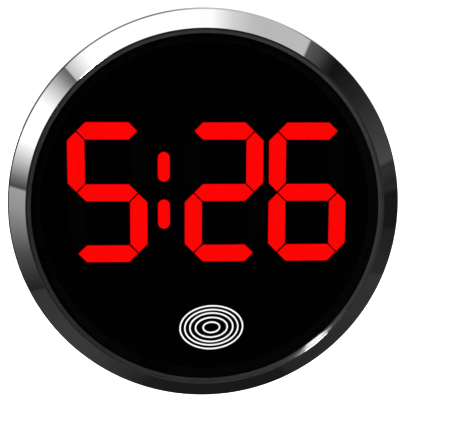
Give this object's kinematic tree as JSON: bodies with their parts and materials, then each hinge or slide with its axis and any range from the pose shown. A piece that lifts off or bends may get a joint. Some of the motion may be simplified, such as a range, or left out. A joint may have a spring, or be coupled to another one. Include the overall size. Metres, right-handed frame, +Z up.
{
  "type": "round timer",
  "caption": "Compact round timer with a sloped chrome bezel, a dark flat window over an LED digit display, a touch key, a magnetic back and a screw-in battery cover.",
  "frame": {"origin": "centre of the circular back, on the plane of the grip pad's face that rests on the wall", "axes": "+Y points into the surface it is mounted on, so the display faces -Y; +Z is up for the digits; +X is to the right of someone reading them"},
  "size_m": [0.06, 0.0195, 0.06],
  "materials": {
    "bezel_chrome": "polished",
    "trim_black": "gloss",
    "smoked_window": "polished",
    "white_print": "matte",
    "black_tape": "matte",
    "frame_black": "matte",
    "reflector_black": "matte",
    "lit_red": "satin",
    "unlit_red": "satin",
    "led_cream": "gloss",
    "board_green": "satin",
    "plated_steel": "satin",
    "spring_steel": "satin",
    "chip_epoxy": "matte",
    "crystal_can": "gloss",
    "resistor_black": "satin",
    "capacitor_tan": "satin",
    "tantalum_amber": "satin",
    "buzzer_black": "matte",
    "buzzer_brass": "satin",
    "seal_black": "satin",
    "case_black": "satin",
    "magnet_nickel": "polished",
    "pad_rubber": "matte",
    "membrane_grey": "matte",
    "cell_steel": "gloss",
    "cell_gasket": "matte",
    "contact_nickel": "satin",
    "lead_red": "satin",
    "lead_black": "satin",
    "cover_black": "satin",
    "seal_red": "satin",
    "foam_grey": "matte"
  },
  "bodies": {
    "case": {"bezel_ring": "bezel_chrome", "trim_ring": "trim_black", "front_lens": "smoked_window", "touch_symbol": "white_print", "lens_tape": "black_tape", "front_frame": "frame_black", "display_mask": "reflector_black", "reflector_block": "reflector_black", "minutes_segments": "lit_red", "tens_segments": "lit_red", "seconds_segments": "lit_red", "colon_bars": "lit_red", "unlit_segments": "unlit_red", "segment_leds": "led_cream", "display_board": "board_green", "module_screws": "plated_steel", "touch_spring": "spring_steel", "controller_chip": "chip_epoxy", "touch_chip": "chip_epoxy", "crystal": "crystal_can", "chip_resistors": "resistor_black", "chip_capacitors": "capacitor_tan", "tantalum_capacitor": "tantalum_amber", "buzzer_case": "buzzer_black", "buzzer_disc": "buzzer_brass", "case_seal": "seal_black", "rear_case": "case_black", "case_screws": "plated_steel", "magnets": "magnet_nickel", "grip_pad": "pad_rubber", "sound_membrane": "membrane_grey", "coin_cell_can": "cell_steel", "coin_cell_gasket": "cell_gasket", "coin_cell_cap": "cell_steel", "negative_contact": "contact_nickel", "positive_contact": "contact_nickel", "red_lead": "lead_red", "black_lead": "lead_black"},
    "cover_seal": {"battery_cover_seal": "seal_red"},
    "battery_cover": {"battery_cover": "cover_black", "cell_pad": "foam_grey"}
  },
  "joints": [
    {"name": "cover_lift", "type": "slide", "parent": "case", "child": "cover_seal", "axis": [0, 1, 0], "range_m": [0, 0.00541]},
    {"name": "cover_turn", "type": "hinge", "parent": "cover_seal", "child": "battery_cover", "pos_m": [0, -0.001, 0], "axis": [0, 1, 0], "range_deg": [0, 648]}
  ],
  "couplings": [
    {"joint": "cover_lift", "follows": "cover_turn", "m_per_rad": 0.00047746}
  ]
}
